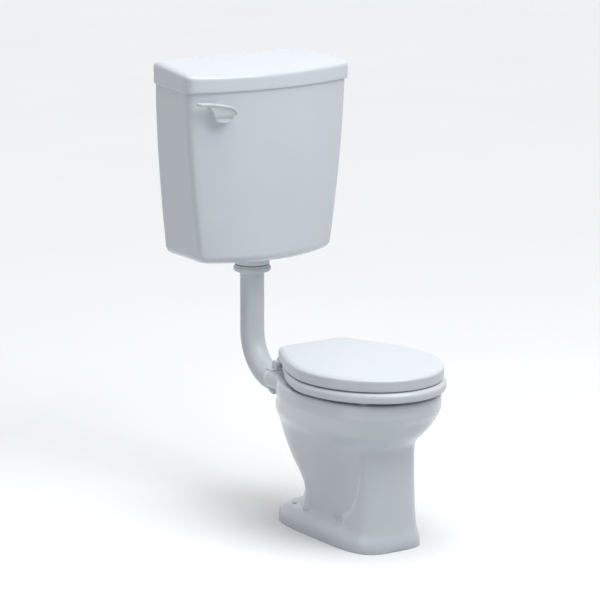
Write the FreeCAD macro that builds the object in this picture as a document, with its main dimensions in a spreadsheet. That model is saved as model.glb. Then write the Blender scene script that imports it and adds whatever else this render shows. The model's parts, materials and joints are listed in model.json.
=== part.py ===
import FreeCAD, Part
import math
import os
import Sketcher
from FreeCAD import Placement, Rotation, Vector

# Two-piece toilet: a floor-standing pan with an S-trap, and a low-level cistern on the wall behind it,
# joined by a flush bend. Millimetres. The origin is the centre of the pan's floor outlet,
# +Z is up, the pan faces -Y and the wall is towards +Y.

SIZES = {
    # Pan, outside: drop below the rim, reach in front of and behind the outlet, and half width of each level
    "rim_height": 372, "rim_front": 331, "rim_back": 123, "rim_half_width": 169,
    "band_drop": 38,
    "shoulder_drop": 54, "shoulder_front": 317, "shoulder_back": 127, "shoulder_half_width": 159,
    "belly_drop": 80, "belly_front": 306, "belly_back": 151, "belly_half_width": 145,
    "throat_drop": 110, "throat_front": 278, "throat_back": 162, "throat_half_width": 117,
    "waist_drop": 150, "waist_front": 248, "waist_back": 165, "waist_half_width": 95,
    "trap_drop": 190, "trap_front": 223, "trap_back": 143, "trap_half_width": 86,
    "elbow_drop": 228, "elbow_front": 207, "elbow_back": 103, "elbow_half_width": 84,
    "neck_drop": 280, "neck_front": 176, "neck_back": 57, "neck_half_width": 83,
    "column_front": 261, "column_back": 120, "column_half_width": 81, "column_drop": 102,
    "foot_front": 269, "foot_back": 140, "foot_half_width": 103, "foot_height": 46,
    "deck_half_width": 112, "deck_back": 148, "deck_thickness": 38,
    "horn_radius": 46, "horn_back": 188, "horn_drop": 60,
    # Pan, inside
    "pan_wall": 12, "rim_wall": 16, "rim_thickness": 30,
    "mouth_front": 284, "mouth_back": 38, "mouth_half_width": 124,
    "well_height": 150, "well_front": 190, "well_back": 90, "well_half_width": 42,
    "trap_bore_radius": 27, "soil_radius": 34, "soil_depth": 80, "inlet_radius": 26,
    "floor_screw_x": 60, "floor_screw_y": 78, "floor_screw_radius": 5,
    # Seat
    "seat_gap": 9, "ring_thickness": 25, "ring_half_width": 180, "ring_front": 347, "ring_back": 97,
    "ring_middle": 128, "ring_flat": 76,
    "hole_half_width": 112, "hole_front": 282, "hole_back": 14,
    "lid_gap": 2, "lid_thickness": 30, "lid_half_width": 176, "lid_front": 339, "lid_back": 106, "lid_flat": 84,
    "lid_wall": 6,
    "buffer_radius": 9,
    "hinge_y": 128, "hinge_rise": 13, "hinge_pin_radius": 4, "ear_radius": 11, "ear_thickness": 8,
    "ear_x": 58, "ear_gap": 1, "post_thickness": 10, "post_base_thickness": 5, "stud_x": 88,
    "stud_radius": 4, "wing_nut_height": 14, "hinge_washer_radius": 12, "hinge_washer_thickness": 3,
    # Flush bend between the two pieces
    "pipe_to_wall": 108, "pipe_radius": 30, "pipe_wall": 2.5, "pipe_bend": 105, "pipe_insert": 36,
    "pipe_flange": 3, "pipe_nut_radius": 46, "pipe_nut_height": 16, "pipe_nut_lip": 4, "pipe_seal_height": 3,
    "cone_wall": 7, "cone_depth": 32, "cone_flange": 6, "cone_lip": 7,
    # Cistern
    "wall_y": 464, "back_trim": 1, "cistern_bottom": 613, "cistern_height": 427, "cistern_half_width": 221,
    "cistern_taper": 40, "cistern_splay": 8, "cistern_back_spread": 13, "cistern_side": 187, "cistern_bow": 44,
    "cistern_side_taper": 12, "cistern_wall": 8, "cistern_floor": 12, "cistern_corner": 26,
    "cistern_floor_round": 22,
    "wall_screw_x": 140, "wall_screw_drop": 62, "wall_screw_radius": 4,
    "cover_height": 57, "cover_tilt": 4, "cover_overhang": 5, "cover_wall": 11, "cover_lip": 12,
    "cover_lip_gap": 4, "cover_wall_gap": 1,
    # Siphon
    "tail_radius": 34, "tail_wall": 5, "tail_length": 35, "siphon_flange_radius": 47,
    "siphon_flange_height": 6, "siphon_washer_height": 4, "backnut_radius": 43.5, "backnut_height": 27,
    "leg_radius": 25, "leg_wall": 3, "leg_spacing": 70, "leg_drop": 180, "chamber_radius": 42,
    "chamber_rise": 26, "chamber_height": 94, "chamber_cone": 24,
    "rod_radius": 3, "plate_rise": 38, "plate_thickness": 3, "plate_gap": 1.5, "flap_thickness": 1,
    "link_length": 26, "link_pin_radius": 2.5,
    # Flush lever
    "lever_inset": 59, "lever_drop": 46, "lever_face": 216, "boss_radius": 21, "lever_boss_depth": 31,
    "bush_radius": 11, "bush_flange_radius": 19, "bush_flange": 4, "bush_tail": 14,
    "lever_nut_height": 8, "lever_washer_thickness": 2, "spindle_radius": 6, "handle_thickness": 15,
    "handle_length": 63, "arm_height": 14, "arm_thickness": 5, "arm_hub_radius": 12,
    # Float valve
    "valve_to_wall": 50, "valve_drop": 75, "valve_boss_depth": 18, "inlet_tail_radius": 10.6,
    "inlet_end_radius": 10.4, "inlet_end": 31, "valve_flange_radius": 18, "valve_flange": 4,
    "valve_body_radius": 14,
    "valve_body_length": 38, "valve_bore_radius": 5, "valve_washer_thickness": 2, "valve_nut_height": 10,
    "diaphragm_thickness": 2, "cap_radius": 19, "cap_length": 18, "cap_overlap": 6,
    "plunger_radius": 4, "plunger_stroke": 8.4, "float_pivot_drop": 12, "float_pivot_reach": 14,
    "float_pin_radius": 2.5, "float_arm_radius": 3, "float_arm_length": 85, "float_radius": 38,
    "float_wall": 1.5, "outlet_radius": 9, "outlet_length": 150,
    # Clearances
    "thread_gap": 0.05, "running_gap": 0.05, "hole_gap": 0.4,
}

# Directions of turned pieces and their angles at rest
LEVER_REST_ANGLE = 20
FLOAT_REST_ANGLE = 35
TONGUE_REST_ANGLE = 20

# Squareness of the pan's outlines: 2 is an ellipse, more is closer to a rectangle
RIM_POWER = 2.2
BODY_POWER = 2.4
COLUMN_POWER = 3
FOOT_POWER = 4
DECK_POWER = 7
OUTLINE_STEPS = 40

TURNS = {
    "+z": Rotation(),
    "-z": Rotation(Vector(1, 0, 0), 180),
    "+y": Rotation(Vector(1, 0, 0), -90),
    "-y": Rotation(Vector(1, 0, 0), 90),
    "+x": Rotation(Vector(0, 1, 0), 90),
    "-x": Rotation(Vector(0, 1, 0), -90),
    # The flush bend's elbow: from level at the back, down and round to the front
    "elbow": Rotation(Vector(0, 1, 0), Vector(0, 0, -1), Vector(-1, 0, 0), "XYZ"),
}

doc = FreeCAD.newDocument("toilet")
sheet = doc.addObject("Spreadsheet::Sheet", "Sizes")
for row, (alias, number) in enumerate(SIZES.items(), start=1):
    sheet.set(f"A{row}", alias)
    sheet.set(f"B{row}", str(number))
    sheet.setAlias(f"B{row}", alias)
doc.recompute()

pieces = []


# Sums of named sizes, such as "rim_height - band_drop/2"
def amount(text):
    total = 0.0
    sign = 1
    for word in text.split():
        if word in ("+", "-"):
            sign = 1 if word == "+" else -1
            continue
        name, _, divisor = word.partition("/")
        number = float(sheet.get(name)) if name in SIZES else float(name)
        total += sign * number / float(divisor or 1)
        sign = 1
    return total


# The same sum to be taken away, with every sign turned round
def minus(text):
    turned_round = {"+": "-", "-": "+"}
    return " - " + " ".join(turned_round.get(word, word) for word in text.split())


def bound(text):
    words = [f"Sizes.{word}" if word.partition("/")[0] in SIZES else word for word in text.split()]
    return " ".join(words)


# Places that several pieces share
HINGE_Z = "rim_height + hinge_rise"
RING_LOW = "rim_height + seat_gap"
RING_TOP = RING_LOW + " + ring_thickness"
LID_LOW = RING_TOP + " + lid_gap"
LID_EAR_X = "ear_x + ear_thickness + ear_gap"
POST_X = LID_EAR_X + " + ear_thickness + ear_gap"
DECK_LOW = "rim_height - deck_thickness"
TAIL_LOW = "cistern_bottom - tail_length"
BASE_INSIDE = "cistern_bottom + cistern_floor"
FLANGE_LOW = BASE_INSIDE + " + siphon_washer_height"
PIPE_TOP = TAIL_LOW + " - pipe_seal_height"
NUT_LOW = PIPE_TOP + " - pipe_flange - pipe_nut_lip"
HORN_Z = "rim_height - horn_drop"
PIPE_Y = "wall_y - pipe_to_wall"
CISTERN_TOP = "cistern_bottom + cistern_height"
LEG_TOP = CISTERN_TOP + " - leg_drop"
CHAMBER_LOW = "cistern_bottom + chamber_rise"
PLATE_Z = "cistern_bottom + plate_rise"
LEVER_REACH = "cistern_half_width - lever_inset"
LEVER_X = "lever_inset - cistern_half_width"
LEVER_Z = CISTERN_TOP + " - lever_drop"
LEVER_FACE_Y = "wall_y - lever_face"
LEVER_INSIDE_Y = LEVER_FACE_Y + " + lever_boss_depth"
VALVE_Y = "wall_y - valve_to_wall"
VALVE_Z = CISTERN_TOP + " - valve_drop"
VALVE_INSIDE_X = "cistern_half_width - valve_boss_depth"
VALVE_FLANGE_X = VALVE_INSIDE_X + " - valve_washer_thickness"
VALVE_END_X = VALVE_FLANGE_X + " - valve_flange - valve_body_length"
CAP_END_X = VALVE_END_X + " - diaphragm_thickness - cap_length"
FLOAT_X = CAP_END_X + " - float_pivot_reach"
FLOAT_Z = VALVE_Z + " - float_pivot_drop"


# Document objects
def keep(item, label):
    item.Label = label
    pieces.append(item)
    return item


def put(item, at, along="+z"):
    item.Placement = Placement(Vector(), TURNS[along])
    for axis, text in zip("xyz", at):
        item.setExpression(f"Placement.Base.{axis}", bound(text))
    return item


def add(kind, name, **sizes):
    item = doc.addObject(kind, name)
    for prop, text in sizes.items():
        item.setExpression(prop, bound(text))
    return item


def rod(name, radius, length, at, along="+z"):
    return put(add("Part::Cylinder", name, Radius=radius, Height=length), at, along)


def block(name, length, width, height, at):
    return put(add("Part::Box", name, Length=length, Width=width, Height=height), at)


def cut(name, base, tool):
    item = doc.addObject("Part::Cut", name)
    item.Base = base
    item.Tool = tool
    return item


def fuse(name, shapes):
    item = doc.addObject("Part::MultiFuse", name)
    item.Shapes = shapes
    return item


def both_sides(name, source):
    mirror = doc.addObject("Part::Mirroring", name + "_mirror")
    mirror.Source = source
    mirror.Normal = Vector(1, 0, 0)
    group = doc.addObject("Part::Compound", name + "_pair")
    group.Links = [source, mirror]
    return group


def tube(name, outer, inner, length, at, along="+z"):
    outside = rod(name + "_outside", outer, length, at, along)
    return cut(name, outside, rod(name + "_bore", inner, length, at, along))


def from_code(label, shape, place=Placement()):
    item = doc.addObject("Part::Feature", label)
    item.Shape = shape
    item.Placement = place
    return keep(item, label)


# A turned piece: a closed profile of (radius, height) points, revolved about its own axis
def turned(name, profile, at, along="+z"):
    body = doc.addObject("PartDesign::Body", name)
    sketch = body.newObject("Sketcher::SketchObject", name + "_profile")
    plane = [item for item in body.Origin.OriginFeatures if item.Role == "XZ_Plane"][0]
    sketch.AttachmentSupport = [(plane, "")]
    sketch.MapMode = "FlatFace"
    corners = [Vector(amount(radius), amount(height), 0) for radius, height in profile]
    count = len(corners)
    for index in range(count):
        sketch.addGeometry(Part.LineSegment(corners[index], corners[(index + 1) % count]), False)
    for index, (radius, height) in enumerate(profile):
        sketch.addConstraint(Sketcher.Constraint("Coincident", index, 2, (index + 1) % count, 1))
        for kind, axis, text in (("DistanceX", -2, radius), ("DistanceY", -1, height)):
            if amount(text) == 0:
                sketch.addConstraint(Sketcher.Constraint("PointOnObject", index, 1, axis))
                continue
            number = sketch.addConstraint(Sketcher.Constraint(kind, -1, 1, index, 1, amount(text)))
            sketch.setExpression(f"Constraints[{number}]", bound(text))
    revolution = body.newObject("PartDesign::Revolution", name + "_turn")
    revolution.Profile = sketch
    revolution.ReferenceAxis = (sketch, ["V_Axis"])
    revolution.Angle = 360
    return put(body, at, along)


def ring_profile(inner, outer, height):
    return [(inner, "0"), (outer, "0"), (outer, height), (inner, height)]


def hexagon(name, across_corners, bore, height, at, along="+z"):
    prism = doc.addObject("Part::Prism", name + "_hexagon")
    prism.Polygon = 6
    prism.setExpression("Circumradius", bound(across_corners))
    prism.setExpression("Height", bound(height))
    return cut(name, put(prism, at, along), rod(name + "_bore", bore, height, at, along))


# Outlines and lofts for the cast and moulded shells
def power(value, exponent):
    return math.copysign(abs(value) ** exponent, value)


# All outlines of one family share their parameters, so that the surfaces through them stay even
def spacing(points):
    places = [0.0]
    for start, end in zip(points, points[1:] + points[:1]):
        places.append(places[-1] + (end - start).Length)
    return [place / places[-1] for place in places]


def closed_curve(points, parameters):
    curve = Part.BSplineCurve()
    curve.interpolate(Points=points, PeriodicFlag=True, Parameters=parameters)
    return Part.Wire([curve.toShape()])


def oval_points(height, front, back, half_width, squareness):
    middle = (back - front) / 2
    reach = (back + front) / 2
    points = []
    for step in range(OUTLINE_STEPS):
        turn = 2 * math.pi * (step + 0.5) / OUTLINE_STEPS
        x = half_width * power(math.cos(turn), 2 / squareness)
        y = middle + reach * power(math.sin(turn), 2 / squareness)
        points.append(Vector(x, y, height))
    return points


def oval(height, front, back, half_width, squareness):
    like = max(squareness, BODY_POWER)
    parameters = spacing(oval_points(0, 1.3, 1.3, 1, like))
    return closed_curve(oval_points(height, front, back, half_width, squareness), parameters)


def loft(wires):
    return Part.makeLoft(wires, True, False)


# Heights and insets of a rounded lower edge, and of a rounded upper edge that ends in a flat top
EDGE_TURNS = 5


def low_edge(rise, inset):
    angles = [math.radians(90 * turn / EDGE_TURNS) for turn in range(EDGE_TURNS + 1)]
    return [(rise * (1 - math.cos(angle)), inset * (1 - math.sin(angle))) for angle in angles]


def high_edge(height, rise, inset):
    angles = [math.radians(78 * turn / EDGE_TURNS) for turn in range(EDGE_TURNS + 1)]
    lowest = height - rise / math.sin(angles[-1])
    share = inset / (1 - math.cos(angles[-1]))
    return [(lowest + (height - lowest) * math.sin(angle) / math.sin(angles[-1]), share * (1 - math.cos(angle)))
            for angle in angles]


# Close steps up a straight side keep the skin from swaying between its edges
def straight_side(lowest, highest):
    return [(lowest + share * (highest - lowest), 0) for share in (0, 0.25, 0.5, 0.75, 1)]


def cylinder(radius, start, end):
    return Part.makeCylinder(radius, (end - start).Length, start, end - start)


# A path of straight runs joined by tangent arcs
def rounded_path(points, radius):
    edges = []
    start = points[0]
    for before, corner, after in zip(points, points[1:], points[2:]):
        to_before = (before - corner).normalize()
        to_after = (after - corner).normalize()
        half_angle = to_before.getAngle(to_after) / 2
        reach = radius / math.tan(half_angle)
        bisector = (to_before + to_after).normalize()
        middle = corner + bisector * (radius / math.sin(half_angle) - radius)
        first = corner + to_before * reach
        last = corner + to_after * reach
        edges.append(Part.makeLine(start, first))
        edges.append(Part.Arc(first, middle, last).toShape())
        start = last
    edges.append(Part.makeLine(start, points[-1]))
    return Part.Wire(edges)


def pipe_along(path, radius):
    start = path.Edges[0]
    direction = start.tangentAt(start.FirstParameter)
    profile = Part.Wire([Part.makeCircle(radius, start.valueAt(start.FirstParameter), direction)])
    return path.makePipeShell([profile], True, False)


# Pan
BODY_LEVELS = ("shoulder", "belly", "throat", "waist", "trap", "elbow", "neck")


def level(name):
    height = "rim_height" if name == "rim" else f"rim_height - {name}_drop"
    return [amount(height)] + [amount(f"{name}_{part}") for part in ("front", "back", "half_width")]


# The shells run on a little below the floor and are trimmed there together
BELOW_FLOOR = 20


def pan_outside():
    rim = level("rim")
    neck = level("neck")
    drop = amount("band_drop")
    sections = []
    for share, inset in ((0, 1.5), (0.15, 0), (0.4, 0), (0.65, 0), (0.9, 0), (1, 1)):
        sides = [side - inset for side in rim[1:]]
        sections.append(oval(rim[0] - share * drop, *sides, RIM_POWER))
    sections += [oval(*level(name), BODY_POWER) for name in BODY_LEVELS]
    sections += [oval(neck[0] * share, *neck[1:], BODY_POWER) for share in (0.7, 0.4, 0.1, -0.2)]
    body = loft(sections)
    foot_top = amount("foot_height")
    foot = [amount("foot_front"), amount("foot_back"), amount("foot_half_width")]
    steps = ((-0.4, 0), (0, 0), (0.4, 0), (0.7, 2), (0.9, 8), (1, 20))
    foot_pad = loft([oval(share * foot_top, *[side - inset for side in foot], FOOT_POWER)
                     for share, inset in steps])
    column = column_loft(0, -BELOW_FLOOR - 6)
    deck = deck_block()
    horn_z = amount(HORN_Z)
    horn = cylinder(amount("horn_radius"), Vector(0, 0, horn_z), Vector(0, amount("horn_back"), horn_z))
    reach = amount("rim_front") + amount("horn_back")
    below = Part.makeBox(2 * reach, 2 * reach, 3 * BELOW_FLOOR, Vector(-reach, -reach, -3 * BELOW_FLOOR))
    return body.fuse(column).fuse(foot_pad).fuse([deck, horn]).cut(below)


def column_loft(inset, lowest):
    top = amount("rim_height - column_drop")
    front = amount("column_front") - inset
    back = inset - amount("column_back")
    half = amount("column_half_width") - inset
    foot_half = amount("foot_half_width") - inset
    rows = ((lowest, front + 4, foot_half - 6), (amount("foot_height"), front + 2, half + 5))
    rows += ((0.5 * top, front, half), (top - inset, front - 2, half - 2))
    return loft([oval(height, reach, back, width, COLUMN_POWER) for height, reach, width in rows])


def deck_block():
    top = amount("rim_height")
    thickness = amount("deck_thickness")
    back = amount("deck_back")
    half = amount("deck_half_width")
    steps = ((0, 3), (0.12, 0), (0.85, 0), (1, 5))
    return loft([oval(top - share * thickness, 0, back - inset, half - inset, DECK_POWER)
                 for share, inset in steps])


def bowl_sections(grow):
    wall = amount("rim_wall") - grow
    top = amount("rim_height") - amount("rim_thickness")
    back = amount("mouth_back") + 16 + grow
    rows = [[top, amount("rim_front") - wall, back, amount("rim_half_width") - wall]]
    well = [amount("well_height") - grow, amount("well_front") + grow, grow - amount("well_back"),
            amount("well_half_width") + grow]
    for name, share in (("shoulder", 0.06), ("belly", 0.16), ("throat", 0.34)):
        height, front, _, half = level(name)
        back = amount("mouth_back") + grow - share * (amount("mouth_back") + amount("well_back"))
        rows.append([height, front - wall, back, half - wall])
    throat = rows[-1]
    for share in (0.4, 0.75):
        rows.append([first + share * (last - first) for first, last in zip(throat, well)])
    rows.append(well)
    return [oval(*row, BODY_POWER) for row in rows]


# The way out: down from the well, up behind it, over the crown and down to the outlet
def trap_path():
    bore = amount("trap_bore_radius")
    bend = bore + 2
    bottom = amount("pan_wall") + amount("foot_height") / 2 + bore + 15
    crown = level("trap")[0] + bore - amount("pan_wall") + 2
    well = -(amount("well_front") + amount("well_back")) / 2 - 6
    climb = well + bore + 25
    top = climb + 86
    steep = math.atan2(crown - bottom, top - climb)
    crest = top + bend * math.tan(steep / 2) + 1
    fall = math.radians(60)
    over = crest + bend / math.tan(fall / 2)
    leg = crown - over * math.tan(fall)
    places = ((well, crown + 9), (well, bottom), (climb, bottom),
              (top, crown), (over, crown), (0, leg), (0, -10))
    return rounded_path([Vector(0, y, z) for y, z in places], bend)


# The space under the pan, open at the floor: inside the outer skin, clear of bowl, trap and inlet
def pan_hollow():
    wall = amount("pan_wall")
    under = []
    for name in BODY_LEVELS[1:]:
        height, front, back, half = level(name)
        under.append(oval(height, front - wall, back - wall, half - wall, BODY_POWER))
    for share in (0.7, 0.4, 0.1, -0.2):
        under.append(oval(height * share, front - wall, back - wall, half - wall, BODY_POWER))
    foot = [amount("foot_front") - wall, amount("foot_back") - wall, amount("foot_half_width") - wall]
    foot_top = amount("foot_height") - wall - 4
    foot_hollow = loft([oval(share * foot_top, *foot, FOOT_POWER) for share in (-0.4, 0.3, 1)])
    hollow = loft(under).fuse(column_loft(wall, -BELOW_FLOOR - 6)).fuse(foot_hollow)
    horn_z = amount(HORN_Z)
    inlet_wall = amount("horn_radius")
    solids = [loft(bowl_sections(wall))]
    solids.append(cylinder(inlet_wall, Vector(0, -inlet_wall, horn_z), Vector(0, amount("horn_back"), horn_z)))
    collar = amount("soil_radius") + wall
    solids.append(cylinder(collar, Vector(0, 0, -BELOW_FLOOR), Vector(0, 0, amount("soil_depth") + wall)))
    radius = amount("trap_bore_radius") + wall
    for edge in trap_path().Edges:
        start, end = [vertex.Point for vertex in edge.Vertexes]
        if isinstance(edge.Curve, Part.Line):
            solids.append(cylinder(radius, start, end))
            continue
        centre = edge.Curve.Center
        side = Vector(radius + 3, 0, 0)
        solids.append(cylinder(edge.Curve.Radius + radius, centre - side, centre + side))
    for solid in solids:
        hollow = hollow.cut(solid)
    return hollow


def pan_shape():
    bore = amount("trap_bore_radius")
    rim_top = amount("rim_height")
    passage = pipe_along(trap_path(), bore)
    bowl = loft(bowl_sections(0))
    mouth_sizes = [amount("mouth_front"), amount("mouth_back"), amount("mouth_half_width")]
    mouth_low = rim_top - amount("rim_thickness") - 2
    mouth = loft([oval(mouth_low, *mouth_sizes, RIM_POWER), oval(rim_top + 2, *mouth_sizes, RIM_POWER)])
    horn_z = amount(HORN_Z)
    inlet_end = amount("horn_back") + 1
    socket_start = amount("horn_back") - amount("pipe_insert") - 2
    inlet = cylinder(amount("inlet_radius"), Vector(0, 0, horn_z), Vector(0, inlet_end, horn_z))
    socket_radius = amount("pipe_radius") + amount("cone_wall")
    socket = cylinder(socket_radius, Vector(0, socket_start, horn_z), Vector(0, inlet_end, horn_z))
    outlet = cylinder(amount("soil_radius"), Vector(0, 0, -1), Vector(0, 0, amount("soil_depth")))
    tools = [bowl, mouth, passage, outlet, inlet, socket]
    for side in (-1, 1):
        x = side * amount("floor_screw_x")
        y = amount("floor_screw_y")
        screw_top = Vector(x, y, amount("foot_height") + 1)
        tools.append(cylinder(amount("floor_screw_radius"), Vector(x, y, -1), screw_top))
        x = side * amount("stud_x")
        y = amount("hinge_y")
        stud_hole = amount("stud_radius") + 1.5
        tools.append(cylinder(stud_hole, Vector(x, y, amount(DECK_LOW) - 2), Vector(x, y, rim_top + 1)))
    shell = pan_outside().cut(pan_hollow())
    for tool in tools:
        shell = shell.cut(tool)
    return shell


# Seat
def egg_points(height, half_width, middle, front, back, flat, inset=0):
    half_width = half_width - inset
    front = front - inset
    back = back - inset
    flat = flat - inset / 2
    points = []
    for step in range(-8, 9):
        turn = math.pi / 2 * step / 8
        points.append(Vector(half_width * math.sin(turn), -middle - (front - middle) * math.cos(turn), height))
    # Behind the widest line the sides run in to a flat back edge
    squareness = 1.5
    depth = back + middle
    end = (1 - (flat / half_width) ** squareness) ** (1 / squareness)
    side = []
    for share in (0.3, 0.55, 0.78, 0.97):
        along = share * end
        side.append((half_width * (1 - along ** squareness) ** (1 / squareness), share * depth - middle))
    points += [Vector(x, y, height) for x, y in side]
    points += [Vector(share * flat, back, height) for share in (0.8, 0.4, 0, -0.4, -0.8)]
    points += [Vector(-x, y, height) for x, y in reversed(side)]
    return points


def egg(height, *sizes):
    return closed_curve(egg_points(height, *sizes), spacing(egg_points(0, *sizes[:5])))


def ear(x, outline):
    start = [Vector(x, y, z) for y, z in outline]
    plate = Part.Face(Part.makePolygon(start + start[:1])).extrude(Vector(amount("ear_thickness"), 0, 0))
    hinge = Vector(x, amount("hinge_y"), amount(HINGE_Z))
    eye = cylinder(amount("ear_radius"), hinge, hinge + Vector(amount("ear_thickness"), 0, 0))
    bore_radius = amount("hinge_pin_radius") + amount("running_gap")
    bore = cylinder(bore_radius, hinge - Vector(1, 0, 0), hinge + Vector(amount("ear_thickness") + 1, 0, 0))
    return plate.fuse(eye).cut(bore)


def mirrored(shape):
    return shape.mirror(Vector(), Vector(1, 0, 0))


def ring_shape():
    low = amount(RING_LOW)
    thickness = amount("ring_thickness")
    sizes = [amount("ring_" + name) for name in ("half_width", "middle", "front", "back", "flat")]
    steps = low_edge(0.2 * thickness, 4) + high_edge(thickness, 0.5 * thickness, 14)
    body = loft([egg(low + rise, *sizes, inset) for rise, inset in steps])
    hole = [amount("hole_front"), amount("hole_back"), amount("hole_half_width")]
    steps = ((-1, 0), (0.5 * thickness, 3), (thickness + 1, 9))
    opening = loft([oval(low + rise, *[side + grow for side in hole], RIM_POWER) for rise, grow in steps])
    hinge_y = amount("hinge_y")
    root = amount("ring_back") - 14
    top = low + 0.6 * thickness
    outline = ((root, low + 2), (hinge_y, low + 2), (hinge_y, top), (root, top))
    ring_ear = ear(amount("ear_x"), outline)
    return body.cut(opening).fuse(ring_ear).fuse(mirrored(ring_ear))


def lid_shape():
    low = amount(LID_LOW)
    thickness = amount("lid_thickness")
    sizes = [amount(name) for name in ("lid_half_width", "ring_middle", "lid_front", "lid_back", "lid_flat")]
    wall = amount("lid_wall")
    crown = 0.25 * thickness
    steps = [(0, 1)] + straight_side(0.15 * thickness, thickness - 1.4 * crown)
    steps += high_edge(thickness, crown, 1.5 * crown)
    body = loft([egg(low + rise, *sizes, inset) for rise, inset in steps])
    ceiling = thickness - wall
    steps = straight_side(-2, ceiling - 1.4 * crown) + high_edge(ceiling, crown, 1.5 * crown)
    hollow = loft([egg(low + rise, *sizes, inset + wall) for rise, inset in steps])
    hinge_y = amount("hinge_y")
    hinge_z = amount(HINGE_Z)
    radius = amount("ear_radius")
    root = amount("lid_back") - 24
    heel = amount("lid_back") + 1
    slant = 0.7 * radius
    outline = ((root, low + 1), (root, low + 0.6 * thickness), (heel + 6, low + 0.5 * thickness),
               (hinge_y + slant, hinge_z + slant), (hinge_y - slant, hinge_z - slant), (heel, low - 2))
    lid_ear = ear(amount(LID_EAR_X), outline)
    return body.cut(hollow).fuse(lid_ear).fuse(mirrored(lid_ear))


def rim_pads(heights, angles, inset):
    pads = []
    front = (amount("rim_front") + amount("mouth_front")) / 2 + inset
    back = (amount("rim_back") + amount("mouth_back")) / 2
    half = (amount("rim_half_width") + amount("mouth_half_width")) / 2 + inset
    for angle in angles:
        turn = math.radians(angle)
        x = half * math.cos(turn)
        y = (back - front) / 2 + (back + front) / 2 * math.sin(turn)
        pads.append(cylinder(amount("buffer_radius"), Vector(x, y, heights[0]), Vector(x, y, heights[1])))
    return Part.makeCompound(pads)


# Cistern: a bowed front, straight sides and a flat back, with every corner rounded
def tank_outline(height, half_width, side, bow, back, front_corner, back_corner, back_spread=0):
    splay = amount("cistern_splay")
    front_half = half_width + splay
    side_front = back - side
    bow_radius = (front_half ** 2 + bow ** 2) / (2 * bow)
    bow_centre = Vector(0, side_front - bow + bow_radius, height)
    corner_x = front_half - front_corner
    drop = math.sqrt((bow_radius - front_corner) ** 2 - corner_x ** 2)
    corner = Vector(corner_x, bow_centre.y - drop, height)
    back_half = half_width - splay + back_spread
    back_centre = Vector(back_half - back_corner, back - back_corner, height)
    # The side is the straight line that touches both corner arcs
    between_centres = back_centre - corner
    slope = math.atan2(between_centres.y, between_centres.x)
    lean = slope - math.acos((front_corner - back_corner) / between_centres.Length)
    sideways = Vector(math.cos(lean), math.sin(lean), 0)
    outward = (corner - bow_centre).normalize()
    front_point = bow_centre + outward * bow_radius
    side_point = corner + sideways * front_corner
    corner_middle = corner + (outward + sideways).normalize() * front_corner
    back_side = back_centre + sideways * back_corner
    back_middle = back_centre + (sideways + Vector(0, 1, 0)).normalize() * back_corner
    back_point = back_centre + Vector(0, back_corner, 0)

    def left(point):
        return Vector(-point.x, point.y, point.z)

    nose = Vector(0, side_front - bow, height)
    return Part.Wire([
        Part.Arc(left(front_point), nose, front_point).toShape(),
        Part.Arc(front_point, corner_middle, side_point).toShape(),
        Part.makeLine(side_point, back_side),
        Part.Arc(back_side, back_middle, back_point).toShape(),
        Part.makeLine(back_point, left(back_point)),
        Part.Arc(left(back_point), left(back_middle), left(back_side)).toShape(),
        Part.makeLine(left(back_side), left(side_point)),
        Part.Arc(left(side_point), left(corner_middle), left(front_point)).toShape(),
    ])


# The sides belly outwards: the taper grows with this power of the depth below the top
BARREL_POWER = 1.5
TANK_LEVELS = 8


def tank_section(height, inset, rounding=0):
    top = amount(CISTERN_TOP)
    depth = max(0, (top - height) / (top - amount("cistern_bottom")))
    taper = amount("cistern_taper")
    half = amount("cistern_half_width") - taper * depth ** BARREL_POWER - inset - rounding
    recess = amount("cistern_side_taper") * depth ** BARREL_POWER
    side = amount("cistern_side") - recess - 2 * inset - rounding
    bow = amount("cistern_bow") + recess
    corner = amount("cistern_corner") - inset / 2
    back = amount("wall_y + back_trim") - inset
    back_spread = amount("cistern_back_spread") * depth
    return tank_outline(height, half, side, bow, back, corner, corner / 2, back_spread)


def tank_loft(inset, low, high):
    round_height = amount("cistern_floor_round") - inset / 2
    start = low + round_height
    step = (high - start) / TANK_LEVELS
    walls = loft([tank_section(start + index * step, inset) for index in range(TANK_LEVELS + 1)])
    turns = 5
    angles = [math.pi / 2 * turn / turns for turn in range(turns + 1)]
    bottom = loft([tank_section(start - round_height * math.sin(angle), inset,
                                round_height * (1 - math.cos(angle))) for angle in angles])
    return walls.fuse(bottom)


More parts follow.
